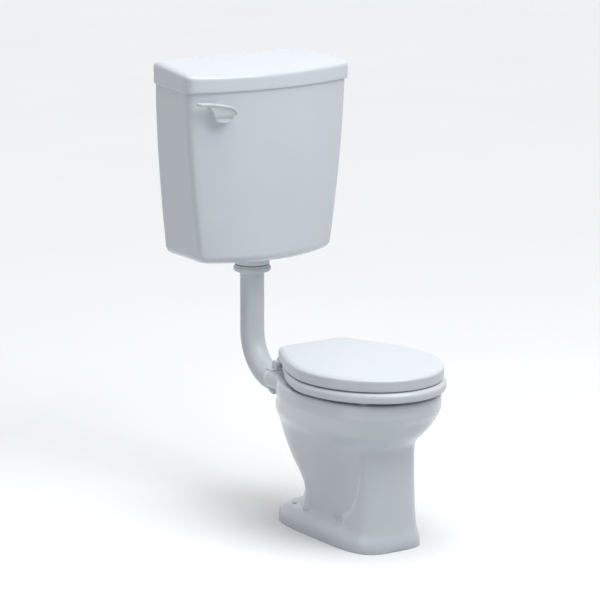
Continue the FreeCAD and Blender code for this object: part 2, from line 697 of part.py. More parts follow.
def cistern_shape():
    wall = amount("cistern_wall")
    top = amount(CISTERN_TOP)
    bottom = amount("cistern_bottom")
    reach = 2 * amount("cistern_half_width")
    behind = Part.makeBox(2 * reach, reach, 2 * top, Vector(-reach, amount("wall_y"), 0))
    outside = tank_loft(0, bottom, top).cut(behind)
    inside = tank_loft(wall, bottom + amount("cistern_floor"), top + 2)
    lever_start = Vector(-amount(LEVER_REACH), amount(LEVER_FACE_Y), amount(LEVER_Z))
    lever_end = lever_start + Vector(0, amount("lever_boss_depth"), 0)
    lever_boss = cylinder(amount("boss_radius"), lever_start, lever_end)
    valve_start = Vector(amount(VALVE_INSIDE_X), amount(VALVE_Y), amount(VALVE_Z))
    valve_end = valve_start + Vector(amount("valve_boss_depth"), 0, 0)
    valve_boss = cylinder(amount("boss_radius"), valve_start, valve_end)
    gap = amount("hole_gap")
    past = 5
    tools = [
        cylinder(amount("bush_radius") + gap, lever_start - Vector(0, past, 0),
                 lever_end + Vector(0, past, 0)),
        cylinder(amount("inlet_tail_radius") + gap, valve_start - Vector(past, 0, 0),
                 valve_end + Vector(past, 0, 0)),
        cylinder(amount("tail_radius") + gap, Vector(0, amount(PIPE_Y), bottom - past),
                 Vector(0, amount(PIPE_Y), bottom + amount("cistern_floor") + past)),
    ]
    screw_z = top - amount("wall_screw_drop")
    for side in (-1, 1):
        start = Vector(side * amount("wall_screw_x"), amount("wall_y") + past, screw_z)
        tools.append(cylinder(amount("wall_screw_radius"), start, start - Vector(0, wall + 2 * past, 0)))
    return outside.cut(inside).fuse([lever_boss, valve_boss]).cut(tools)


def cover_shape():
    low = amount(CISTERN_TOP)
    height = amount("cover_height")
    half = amount("cistern_half_width") + amount("cover_overhang")
    side = amount("cistern_side") + amount("cover_overhang")
    bow = amount("cistern_bow")
    back = amount("wall_y - cover_wall_gap")
    corner = amount("cistern_corner")

    # The top slopes down to the front, a little at each level
    def outline(rise, inset):
        wire = tank_outline(low + rise, half - inset, side - 2 * inset, bow, back - inset,
                            corner - min(inset, corner / 2) / 2, corner / 3)
        tilt = amount("cover_tilt") * max(0, rise) / height
        wire.rotate(Vector(0, back, low + rise), Vector(1, 0, 0), tilt)
        return wire

    crown = 0.22 * height
    steps = [(0, 2), (2, 0.5), (5, 0), ((height - crown) / 2, 0)] + high_edge(height, crown, 1.2 * crown)
    outside = loft([outline(*step) for step in steps])
    wall = amount("cover_wall")
    lip_out = amount("cistern_wall") + amount("cover_lip_gap")
    lip_in = lip_out + wall / 2
    rim = amount("cover_overhang") + lip_in
    ceiling = height - wall
    inside = loft([outline(rise, rim + inset) for rise, inset in ((-1, 0), (ceiling / 2, 4), (ceiling, 8))])
    lip_low = low - amount("cover_lip")
    lip = tank_loft_ring(lip_out, lip_in, lip_low, low + wall / 2)
    return outside.cut(inside).fuse(lip)


def tank_loft_ring(outer_inset, inner_inset, low, high):
    solids = []
    for inset, past in ((outer_inset, 0), (inner_inset, 1)):
        half = amount("cistern_half_width") - inset
        side = amount("cistern_side") - 2 * inset
        back = amount("wall_y") - inset
        corner = amount("cistern_corner") - inset / 2
        wires = [tank_outline(z, half, side, amount("cistern_bow"), back, corner, corner / 2)
                 for z in (low - past, high + past)]
        solids.append(loft(wires))
    return solids[0].cut(solids[1])


# Flush lever: a rounded hub with a tapering blade that reaches towards the side of the tank
def handle_shape():
    x = -amount(LEVER_REACH)
    z = amount(LEVER_Z)
    length = amount("handle_length")
    gap = 0.4
    back = amount(LEVER_FACE_Y) - amount("bush_flange") - gap
    thickness = amount("handle_thickness")
    top = [(-length, 28), (-0.5 * length, 25), (0, 19), (26, 12), (37, -2)]
    under = [(30, -16), (11, -25), (-12, -21), (-25, -4), (-0.62 * length, 14), (-length, 20)]
    upper = Part.BSplineCurve()
    upper.interpolate(Points=[Vector(x + dx, back, z + dz) for dx, dz in top + under])
    start = upper.value(upper.FirstParameter)
    end = upper.value(upper.LastParameter)
    tip = Part.Arc(end, Vector(x - length - 5, back, (start.z + end.z) / 2), start)
    face = Part.Face(Part.Wire([upper.toShape(), tip.toShape()]))
    blade = face.extrude(Vector(0, -thickness, 0))
    front_edges = [edge for edge in blade.Edges
                   if all(abs(vertex.Y - back + thickness) < 0.01 for vertex in edge.Vertexes)]
    blade = blade.makeFillet(2.5, front_edges)
    bore = cylinder(amount("spindle_radius") + amount("thread_gap"), Vector(x, back + 1, z),
                    Vector(x, back - thickness + 5, z))
    return blade.cut(bore)


from_code("pan", pan_shape())
from_code("seat_ring", ring_shape())
from_code("seat_lid", lid_shape())
from_code("ring_buffers", rim_pads((amount("rim_height"), amount(RING_LOW)), (35, 145, -50, -130), 0))
from_code("lid_buffers", rim_pads((amount(RING_TOP), amount(LID_LOW)), (-35, -145), 6))
from_code("cistern", cistern_shape())
from_code("cistern_lid", cover_shape())
from_code("lever_handle", handle_shape())

# Seat hinges
post_foot = block("post_foot", "stud_x + stud_x" + minus(POST_X) + minus(POST_X), "ear_radius + ear_radius + 8",
                  "post_base_thickness", (POST_X, "hinge_y - ear_radius - 4", "rim_height"))
post_wall = block("post_wall", "post_thickness", "ear_radius + ear_radius", "hinge_rise",
                  (POST_X, "hinge_y - ear_radius", "rim_height"))
post_head = rod("post_head", "ear_radius", "post_thickness", (POST_X, "hinge_y", HINGE_Z), "+x")
post_solid = fuse("post_solid", [post_foot, post_wall, post_head])
post_bore = rod("post_bore", "hinge_pin_radius + thread_gap", "post_thickness",
                (POST_X, "hinge_y", HINGE_Z), "+x")
stud_seat = rod("stud_seat", "stud_radius + thread_gap", "post_base_thickness",
                ("stud_x", "hinge_y", "rim_height"))
post = cut("post", post_solid, fuse("post_holes", [post_bore, stud_seat]))
keep(both_sides("post", post), "hinge_posts")

pin_start = "ear_x - 2"
pin_length = "2 + ear_thickness + ear_gap + ear_thickness + ear_gap + post_thickness"
pin = rod("hinge_pin", "hinge_pin_radius", pin_length, (pin_start, "hinge_y", HINGE_Z), "+x")
keep(both_sides("hinge_pin", pin), "hinge_pins")

stud_low = DECK_LOW + " - hinge_washer_thickness - wing_nut_height - 4"
stud_length = "deck_thickness + hinge_washer_thickness + wing_nut_height + 4 + post_base_thickness"
stud = rod("stud", "stud_radius", stud_length, ("stud_x", "hinge_y", stud_low))
keep(both_sides("stud", stud), "hinge_studs")

washer_low = DECK_LOW + " - hinge_washer_thickness"
washer = tube("hinge_washer", "hinge_washer_radius", "stud_radius + thread_gap", "hinge_washer_thickness",
              ("stud_x", "hinge_y", washer_low))
keep(both_sides("hinge_washer", washer), "hinge_washers")

wing_low = washer_low + " - wing_nut_height"
wing_hub = rod("wing_hub", "stud_radius + 4", "wing_nut_height", ("stud_x", "hinge_y", wing_low))
wing_plate = block("wing_plate", "4", "36", "wing_nut_height - 3", ("stud_x - 2", "hinge_y - 18", wing_low))
wing_bore = rod("wing_bore", "stud_radius + thread_gap", "wing_nut_height", ("stud_x", "hinge_y", wing_low))
wing_nut = cut("wing_nut", fuse("wing_solid", [wing_hub, wing_plate]), wing_bore)
keep(both_sides("wing_nut", wing_nut), "hinge_wing_nuts")


# Flush bend: two straight runs and a quarter bend, outside and inside
def bend(name, radius):
    start_y = PIPE_Y + " - pipe_bend"
    upright_low = HORN_Z + " + pipe_bend"
    level_start = "horn_back - pipe_insert"
    upright = rod(name + "_upright", radius, PIPE_TOP + minus(upright_low), ("0", PIPE_Y, upright_low))
    level_run = rod(name + "_level", radius, start_y + minus(level_start), ("0", level_start, HORN_Z), "+y")
    elbow = add("Part::Torus", name + "_elbow", Radius1="pipe_bend", Radius2=radius)
    elbow.Angle3 = 90
    put(elbow, ("0", start_y, upright_low), "elbow")
    return fuse(name, [upright, level_run, elbow])


pipe_outside = bend("bend_outside", "pipe_radius")
pipe_flange = rod("pipe_flange", "tail_radius - 1", "pipe_flange",
                  ("0", PIPE_Y, PIPE_TOP + " - pipe_flange"))
pipe_inside = bend("bend_inside", "pipe_radius - pipe_wall")
keep(cut("flush_pipe", fuse("pipe_solid", [pipe_outside, pipe_flange]), pipe_inside), "flush_pipe")

keep(tube("pipe_seal", "tail_radius - 1", "pipe_radius - pipe_wall", "pipe_seal_height",
          ("0", PIPE_Y, PIPE_TOP)), "pipe_seal")

nut_profile = [
    ("pipe_radius + hole_gap", "0"), ("pipe_nut_radius - 3", "0"), ("pipe_nut_radius", "3"),
    ("pipe_nut_radius", "pipe_nut_height - 5"), ("pipe_nut_radius - 3", "pipe_nut_height - 4"),
    ("pipe_nut_radius - 3", "pipe_nut_height"), ("tail_radius + thread_gap", "pipe_nut_height"),
    ("tail_radius + thread_gap", "pipe_nut_lip"), ("pipe_radius + hole_gap", "pipe_nut_lip"),
]
keep(turned("pipe_nut", nut_profile, ("0", PIPE_Y, NUT_LOW)), "pipe_nut")

cone_inner = "pipe_radius + thread_gap"
cone_outer = "pipe_radius + cone_wall - thread_gap"
cone_profile = [
    (cone_inner, "0"), (cone_outer + " - 2", "0"), (cone_outer, "4"), (cone_outer, "cone_depth"),
    (cone_outer + " + cone_lip", "cone_depth"), (cone_outer + " + cone_lip - 2", "cone_depth + cone_flange"),
    (cone_inner, "cone_depth + cone_flange"),
]
keep(turned("flush_cone", cone_profile, ("0", "horn_back - cone_depth", HORN_Z), "+y"), "flush_cone")

# Siphon: threaded tail and flange, outlet leg, crown and lift chamber
LEG_X = "- leg_spacing"
CHAMBER_TOP = CHAMBER_LOW + " + chamber_height"
CONE_TOP = CHAMBER_TOP + " + chamber_cone"


def siphon_skin(name, shrink):
    leg = "leg_radius" + shrink
    outlet = rod(name + "_outlet", leg, "cistern_height - leg_drop", ("0", PIPE_Y, "cistern_bottom"))
    supply = rod(name + "_supply", leg, LEG_TOP + minus(CONE_TOP), (LEG_X, PIPE_Y, CONE_TOP))
    wide = "chamber_radius" + shrink
    cone = add("Part::Cone", name + "_cone", Radius1=wide, Radius2=leg, Height="chamber_cone")
    put(cone, (LEG_X, PIPE_Y, CHAMBER_TOP))
    chamber = rod(name + "_chamber", wide, "chamber_height", (LEG_X, PIPE_Y, CHAMBER_LOW))
    crown = add("Part::Torus", name + "_crown", Radius1="leg_spacing/2", Radius2=leg)
    crown.Angle3 = 180
    put(crown, ("- leg_spacing/2", PIPE_Y, LEG_TOP), "-y")
    return fuse(name, [outlet, supply, cone, chamber, crown])


siphon_flange = rod("siphon_flange", "siphon_flange_radius", "siphon_flange_height",
                    ("0", PIPE_Y, FLANGE_LOW))
siphon_tail_length = "tail_length + cistern_floor + siphon_washer_height + siphon_flange_height"
siphon_tail = rod("siphon_tail", "tail_radius", siphon_tail_length, ("0", PIPE_Y, TAIL_LOW))
gland_height = "leg_spacing/2 + leg_radius"
gland = rod("siphon_gland", "rod_radius + 5", gland_height, (LEG_X, PIPE_Y, LEG_TOP))
gland_hole = rod("gland_hole", "rod_radius + running_gap", gland_height, (LEG_X, PIPE_Y, LEG_TOP))
tail_bore = rod("tail_bore", "tail_radius - tail_wall", "tail_length", ("0", PIPE_Y, TAIL_LOW))
siphon_solid = fuse("siphon_solid", [siphon_skin("siphon_outside", ""), siphon_flange, siphon_tail, gland])
siphon_inside = fuse("siphon_bores", [siphon_skin("siphon_inside", " - leg_wall"), gland_hole, tail_bore])
keep(cut("siphon_body", siphon_solid, siphon_inside), "siphon_body")

siphon_washer = ring_profile("tail_radius + thread_gap", "siphon_flange_radius", "siphon_washer_height")
keep(turned("siphon_washer", siphon_washer, ("0", PIPE_Y, BASE_INSIDE)), "siphon_washer")
backnut_profile = [
    ("tail_radius + thread_gap", "0"), ("backnut_radius - 2", "0"), ("backnut_radius", "2"),
    ("backnut_radius", "backnut_height"), ("tail_radius + thread_gap", "backnut_height"),
]
keep(turned("siphon_backnut", backnut_profile, ("0", PIPE_Y, "cistern_bottom - backnut_height")),
     "siphon_backnut")

# Lift rod, plate, flap and link
link_drop = (amount(LEVER_REACH) - amount("leg_spacing")) * math.tan(math.radians(LEVER_REST_ANGLE))
upper_pin_z = amount(LEVER_Z) - link_drop
lower_pin_z = upper_pin_z - amount("link_length")


def lift_rod_shape():
    axis = Vector(-amount("leg_spacing"), amount(PIPE_Y), 0)
    plate = amount(PLATE_Z)
    collar = plate + amount("plate_thickness") + amount("flap_thickness")
    eye_z = lower_pin_z
    shaft = cylinder(amount("rod_radius"), axis + Vector(0, 0, plate - 8), axis + Vector(0, 0, eye_z - 5))
    shoulder = cylinder(amount("rod_radius") + 3, axis + Vector(0, 0, collar), axis + Vector(0, 0, collar + 4))
    width = amount("arm_thickness")
    eye = Part.makeBox(12, width, 14, axis + Vector(-6, -width / 2, eye_z - 8))
    hole_radius = amount("link_pin_radius") + amount("thread_gap")
    hole = cylinder(hole_radius, axis + Vector(0, -width, eye_z), axis + Vector(0, width, eye_z))
    return shaft.fuse([shoulder, eye]).cut(hole)


def link_shape():
    axis = Vector(-amount("leg_spacing"), amount(PIPE_Y), 0)
    offset = amount("arm_thickness") / 2 + 0.5
    plates = []
    for start in (-offset - 3, offset):
        bar = Part.makeBox(10, 3, amount("link_length") + 10, axis + Vector(-5, start, lower_pin_z - 5))
        for z in (lower_pin_z, upper_pin_z):
            hole_radius = amount("link_pin_radius") + amount("thread_gap")
            hole_start = axis + Vector(0, start - 1, z)
            bar = bar.cut(cylinder(hole_radius, hole_start, hole_start + Vector(0, 5, 0)))
        plates.append(bar)
    return Part.makeCompound(plates)


def link_pins_shape():
    axis = Vector(-amount("leg_spacing"), amount(PIPE_Y), 0)
    reach = amount("arm_thickness") / 2 + 5
    pins = []
    for z in (lower_pin_z, upper_pin_z):
        start = axis + Vector(0, -reach, z)
        pins.append(cylinder(amount("link_pin_radius"), start, start + Vector(0, 2 * reach, 0)))
    return Part.makeCompound(pins)


from_code("lift_rod", lift_rod_shape())
from_code("lift_link", link_shape())
from_code("link_pins", link_pins_shape())

plate_radius = "chamber_radius - leg_wall - plate_gap"
plate_disc = tube("plate_disc", plate_radius, "rod_radius + thread_gap", "plate_thickness",
                  (LEG_X, PIPE_Y, PLATE_Z))
plate_holes = []
for number in range(6):
    turn = math.radians(60 * number)
    ring_radius = amount(plate_radius) * 0.6
    hole = add("Part::Cylinder", f"plate_hole_{number}", Radius="chamber_radius/7", Height="plate_thickness")
    dx = ring_radius * math.cos(turn)
    dy = ring_radius * math.sin(turn)
    plate_holes.append(put(hole, (f"- leg_spacing + {dx:.4f}", PIPE_Y + f" + {dy:.4f}", PLATE_Z)))
keep(cut("siphon_plate", plate_disc, fuse("plate_openings", plate_holes)), "siphon_plate")
flap_profile = ring_profile("rod_radius + thread_gap", plate_radius + " - 2", "flap_thickness")
keep(turned("siphon_flap", flap_profile, (LEG_X, PIPE_Y, PLATE_Z + " + plate_thickness")), "siphon_flap")
keep(hexagon("plate_nut", "rod_radius + 4", "rod_radius + thread_gap", "5",
             (LEG_X, PIPE_Y, PLATE_Z + " - 5")), "plate_nut")

# Lever fittings through the tank wall
bush_profile = [
    ("spindle_radius + running_gap", "0"), ("bush_flange_radius - 1", "0"), ("bush_flange_radius", "1"),
    ("bush_flange_radius", "bush_flange"), ("bush_radius", "bush_flange"),
    ("bush_radius", "bush_flange + lever_boss_depth + bush_tail"),
    ("spindle_radius + running_gap", "bush_flange + lever_boss_depth + bush_tail"),
]
keep(turned("lever_bush", bush_profile, (LEVER_X, LEVER_FACE_Y + " - bush_flange", LEVER_Z), "+y"),
     "lever_bush")
lever_washer = ring_profile("bush_radius + thread_gap", "bush_flange_radius", "lever_washer_thickness")
keep(turned("lever_washer", lever_washer, (LEVER_X, LEVER_INSIDE_Y, LEVER_Z), "+y"), "lever_washer")
lever_nut_y = LEVER_INSIDE_Y + " + lever_washer_thickness"
keep(hexagon("lever_nut", "bush_flange_radius", "bush_radius + thread_gap", "lever_nut_height",
             (LEVER_X, lever_nut_y, LEVER_Z), "+y"), "lever_nut")
spindle_start = LEVER_FACE_Y + " - bush_flange - handle_thickness + 6"
spindle_length = "arm_thickness - pipe_to_wall + lever_face + bush_flange + handle_thickness"
keep(rod("lever_spindle", "spindle_radius", spindle_length, (LEVER_X, spindle_start, LEVER_Z), "+y"),
     "lever_spindle")


# Inner arm, drawn level about the spindle and then turned down to its rest angle
def at_lever():
    pivot = Vector(-amount(LEVER_REACH), amount(PIPE_Y), amount(LEVER_Z))
    return Placement(pivot, Rotation(Vector(0, 1, 0), LEVER_REST_ANGLE))


def arm_shape():
    reach = amount(LEVER_REACH) - amount("leg_spacing")
    thickness = amount("arm_thickness")
    height = amount("arm_height")
    far = reach / math.cos(math.radians(LEVER_REST_ANGLE))
    hub = cylinder(amount("arm_hub_radius"), Vector(0, -thickness, 0), Vector(0, thickness, 0))
    bar = Part.makeBox(far + 10, thickness, height, Vector(0, -thickness / 2, -height / 2))
    slot_half = amount("link_pin_radius") + 1.2
    slot = Part.makeBox(far - reach + 2 * slot_half, 2 * thickness, 2 * slot_half,
                        Vector(reach - slot_half, -thickness, -slot_half))
    bore = cylinder(amount("spindle_radius") + amount("thread_gap"), Vector(0, -2 * thickness, 0),
                    Vector(0, 2 * thickness, 0))
    screw_radius = amount("spindle_radius") / 2
    screw_hole = cylinder(screw_radius + amount("thread_gap"), Vector(), Vector(0, 0, 2 * height))
    return hub.fuse(bar).cut([slot, bore, screw_hole])


def arm_screw_shape():
    screw_radius = amount("spindle_radius") / 2
    start = amount("spindle_radius") + amount("thread_gap")
    shank = cylinder(screw_radius, Vector(0, 0, start), Vector(0, 0, amount("arm_hub_radius") + 4))
    head_start = amount("arm_hub_radius") + 1
    head = cylinder(screw_radius + 2, Vector(0, 0, head_start), Vector(0, 0, head_start + 4))
    return shank.fuse(head)


from_code("lever_arm", arm_shape(), at_lever())
from_code("lever_screw", arm_screw_shape(), at_lever())

# Float valve through the side of the tank
VALVE = (VALVE_Y, VALVE_Z)
bore = "valve_bore_radius"
body_length = "valve_flange + valve_body_length"
wall_stack = "valve_boss_depth + valve_washer_thickness + valve_washer_thickness + valve_nut_height"
tail_end = body_length + " + " + wall_stack + " + 1"
valve_profile = [
    (bore, "0"), ("valve_body_radius", "0"), ("valve_body_radius", "valve_body_length"),
    ("valve_flange_radius", "valve_body_length"), ("valve_flange_radius", body_length),
    ("inlet_tail_radius", body_length), ("inlet_tail_radius", tail_end), ("inlet_end_radius", tail_end),
    ("inlet_end_radius", tail_end + " + inlet_end"), (bore, tail_end + " + inlet_end"),
]
valve_turned = turned("valve_turned", valve_profile, (VALVE_END_X, *VALVE), "+x")
outlet_x = VALVE_END_X + " + valve_body_length/2"
outlet_spout = rod("outlet_spout", "outlet_radius - 2", "valve_body_radius + 12", (outlet_x, *VALVE), "-z")
outlet_bore = rod("outlet_bore", "outlet_radius - 4", "valve_body_radius + 12", (outlet_x, *VALVE), "-z")
keep(cut("valve_body", fuse("valve_solid", [valve_turned, outlet_spout]), outlet_bore), "valve_body")
outlet_at = (outlet_x, VALVE_Y, VALVE_Z + " - valve_body_radius - 2")
keep(tube("valve_outlet", "outlet_radius", "outlet_radius - 2 + thread_gap", "outlet_length", outlet_at, "-z"),
     "valve_outlet")
tail_hole = "inlet_tail_radius + thread_gap"
washer_pair = doc.addObject("Part::Compound", "valve_washer_pair")
washer_pair.Links = [
    tube(f"valve_washer_{side}", "valve_flange_radius", tail_hole, "valve_washer_thickness",
         (start, *VALVE), "+x")
    for side, start in (("inside", VALVE_FLANGE_X), ("outside", "cistern_half_width"))
]
keep(washer_pair, "valve_washers")
keep(hexagon("valve_backnut", "valve_flange_radius", tail_hole, "valve_nut_height",
             ("cistern_half_width + valve_washer_thickness", *VALVE), "+x"), "valve_backnut")
diaphragm = rod("valve_diaphragm", "valve_body_radius", "diaphragm_thickness",
                (VALVE_END_X + " - diaphragm_thickness", *VALVE), "+x")
keep(diaphragm, "valve_diaphragm")


# Cap with the plunger's guide and two lugs that carry the float arm's pivot
def cap_shape():
    start = Vector(amount(CAP_END_X), amount(VALVE_Y), amount(VALVE_Z))
    length = amount("cap_length") + amount("diaphragm_thickness") + amount("cap_overlap")
    shell = cylinder(amount("cap_radius"), start, start + Vector(length, 0, 0))
    socket_start = start + Vector(amount("cap_length"), 0, 0)
    socket_radius = amount("valve_body_radius") + amount("thread_gap")
    socket = cylinder(socket_radius, socket_start, socket_start + Vector(length, 0, 0))
    guide = cylinder(amount("plunger_radius") + amount("running_gap"), start - Vector(1, 0, 0), socket_start)
    pivot = Vector(amount(FLOAT_X), amount(VALVE_Y), amount(FLOAT_Z))
    lugs = []
    lug_radius = amount("float_pin_radius") + 4
    for offset in (-9, 6):
        lug_start = pivot + Vector(0, offset, 0)
        eye = cylinder(lug_radius, lug_start, lug_start + Vector(0, 3, 0))
        arm_low = lug_start - Vector(0, 0, lug_radius)
        arm = Part.makeBox(amount("float_pivot_reach") + 2, 3, 2 * lug_radius, arm_low)
        hole = cylinder(amount("float_pin_radius") + amount("thread_gap"), lug_start - Vector(0, 1, 0),
                        lug_start + Vector(0, 4, 0))
        lugs.append(eye.fuse(arm).cut(hole))
    return shell.fuse(lugs).cut([socket, guide])


def tongue_offset(angle):
    turn = math.radians(angle)
    reach = amount("float_pivot_drop")
    return Vector(reach * math.sin(turn), 0, reach * math.cos(turn))


def plunger_shape():
    tongue_radius = amount("float_arm_radius")
    start_x = amount(FLOAT_X) + tongue_offset(-TONGUE_REST_ANGLE).x + tongue_radius + amount("hole_gap")
    end_x = amount(VALVE_END_X) - amount("diaphragm_thickness") - amount("plunger_stroke") - amount("hole_gap")
    axis = Vector(0, amount(VALVE_Y), amount(VALVE_Z))
    return cylinder(amount("plunger_radius"), axis + Vector(start_x, 0, 0), axis + Vector(end_x, 0, 0))


# Float arm, drawn level towards -X about its pivot and then lowered to its rest angle
def at_float():
    pivot = Vector(amount(FLOAT_X), amount(VALVE_Y), amount(FLOAT_Z))
    return Placement(pivot, Rotation(Vector(0, 1, 0), -FLOAT_REST_ANGLE))


def float_arm_shape():
    hub_radius = amount("float_pin_radius") + 3
    reach = amount("float_arm_length") - amount("float_radius")
    hub = cylinder(hub_radius, Vector(0, -5.5, 0), Vector(0, 5.5, 0))
    bar = cylinder(amount("float_arm_radius"), Vector(), Vector(-reach + 2, 0, 0))
    tongue_at = tongue_offset(FLOAT_REST_ANGLE - TONGUE_REST_ANGLE)
    tongue = cylinder(amount("float_arm_radius"), tongue_at - Vector(0, 3, 0), tongue_at + Vector(0, 3, 0))
    hole = cylinder(amount("float_pin_radius") + amount("running_gap"), Vector(0, -7, 0), Vector(0, 7, 0))
    web = cylinder(0.6 * amount("float_arm_radius"), Vector(), tongue_at)
    return hub.fuse([bar, tongue, web]).cut(hole)


def float_ball_shape():
    centre = Vector(-amount("float_arm_length"), 0, 0)
    radius = amount("float_radius")
    neck_end = centre + Vector(radius + 6, 0, 0)
    outside = Part.makeSphere(radius, centre)
    neck = cylinder(amount("float_arm_radius") + 3, centre, neck_end)
    inside = Part.makeSphere(radius - amount("float_wall"), centre)
    bore_radius = amount("float_arm_radius") + amount("thread_gap")
    neck_bore = cylinder(bore_radius, centre + Vector(radius - 8, 0, 0), neck_end)
    plug_start = centre + Vector(radius - 12, 0, 0)
    plug = cylinder(amount("float_arm_radius") + 3, plug_start, plug_start + Vector(12, 0, 0))
    return outside.fuse(neck).cut(inside).fuse(plug).cut(neck_bore)


def float_nut_shape():
    start = amount("float_radius") - amount("float_arm_length") + 6
    corner = amount("float_arm_radius") + 4
    ring = [Vector(start, corner * math.cos(math.radians(60 * k)), corner * math.sin(math.radians(60 * k)))
            for k in range(7)]
    nut = Part.Face(Part.makePolygon(ring)).extrude(Vector(5, 0, 0))
    bore_radius = amount("float_arm_radius") + amount("thread_gap")
    return nut.cut(cylinder(bore_radius, Vector(start - 1, 0, 0), Vector(start + 6, 0, 0)))


from_code("valve_cap", cap_shape())
from_code("valve_plunger", plunger_shape())
from_code("float_arm", float_arm_shape(), at_float())
from_code("float_ball", float_ball_shape(), at_float())
from_code("float_nut", float_nut_shape(), at_float())
keep(rod("float_pin", "float_pin_radius", "22", (FLOAT_X, VALVE_Y + " - 11", FLOAT_Z), "+y"), "float_pin")

doc.recompute()
for item in doc.Objects:
    if "Invalid" in item.State or "Error" in item.State:
        raise RuntimeError(f"{item.Label} failed to build: {item.State}")
for item in pieces:
    if item.Shape.isNull() or not item.Shape.isValid():
        raise RuntimeError(f"{item.Label} is not a valid shape")

os.makedirs("parts", exist_ok=True)
for item in pieces:
    item.Shape.exportStep(f"parts/{item.Label}.step")
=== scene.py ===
import json
import math

import bpy
import numpy as np
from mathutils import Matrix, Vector


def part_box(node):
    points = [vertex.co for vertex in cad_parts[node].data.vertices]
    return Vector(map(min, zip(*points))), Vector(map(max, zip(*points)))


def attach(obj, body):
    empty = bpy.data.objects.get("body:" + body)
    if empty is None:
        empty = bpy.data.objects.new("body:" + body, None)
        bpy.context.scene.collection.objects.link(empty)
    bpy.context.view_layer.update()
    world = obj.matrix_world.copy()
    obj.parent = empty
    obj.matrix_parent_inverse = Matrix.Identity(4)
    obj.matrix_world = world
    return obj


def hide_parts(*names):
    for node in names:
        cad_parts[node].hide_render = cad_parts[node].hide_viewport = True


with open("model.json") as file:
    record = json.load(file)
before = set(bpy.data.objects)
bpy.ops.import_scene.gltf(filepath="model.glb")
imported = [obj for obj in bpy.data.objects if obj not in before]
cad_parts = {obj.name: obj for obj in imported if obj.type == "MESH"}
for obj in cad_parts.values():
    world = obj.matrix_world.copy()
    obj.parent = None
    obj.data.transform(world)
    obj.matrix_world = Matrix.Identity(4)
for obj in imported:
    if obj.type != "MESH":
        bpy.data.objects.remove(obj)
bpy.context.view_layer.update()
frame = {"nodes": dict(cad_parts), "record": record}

# The photograph's camera: metres and degrees, with lens and sensor in millimetres
CAMERA_AZIMUTH = -34
CAMERA_ELEVATION = 12.6
CAMERA_DISTANCE = 7.505
CAMERA_TARGET = Vector((-0.3247, -0.3371, 0.6616))
CAMERA_LENS = 200.45
CAMERA_SENSOR = 36
CAMERA_FAR = 200

# Linear colours: every piece that shows is a cool white, and only hidden seals, pins and float differ
GLAZE_COLOUR = (0.665, 0.705, 0.75, 1)
GLAZE_SHADE = (0.645, 0.687, 0.735, 1)
SEAT_COLOUR = (0.635, 0.67, 0.705, 1)
SEAT_SHADE = (0.622, 0.658, 0.695, 1)
FITTING_COLOUR = (0.70, 0.74, 0.775, 1)
FITTING_SHADE = (0.67, 0.712, 0.75, 1)
RUBBER_COLOUR = (0.035, 0.036, 0.038, 1)
RUBBER_SHADE = (0.07, 0.07, 0.072, 1)
STEEL_COLOUR = (0.52, 0.53, 0.54, 1)
STEEL_SHADE = (0.38, 0.39, 0.41, 1)
FLOAT_COLOUR = (0.78, 0.24, 0.06, 1)
FLOAT_SHADE = (0.66, 0.18, 0.04, 1)
FLOOR_COLOUR = (0.93, 0.93, 0.93, 1)
FLOOR_SHADE = (0.92, 0.92, 0.92, 1)
FLOOR_BOUNCE = (0.53, 0.54, 0.55, 1)

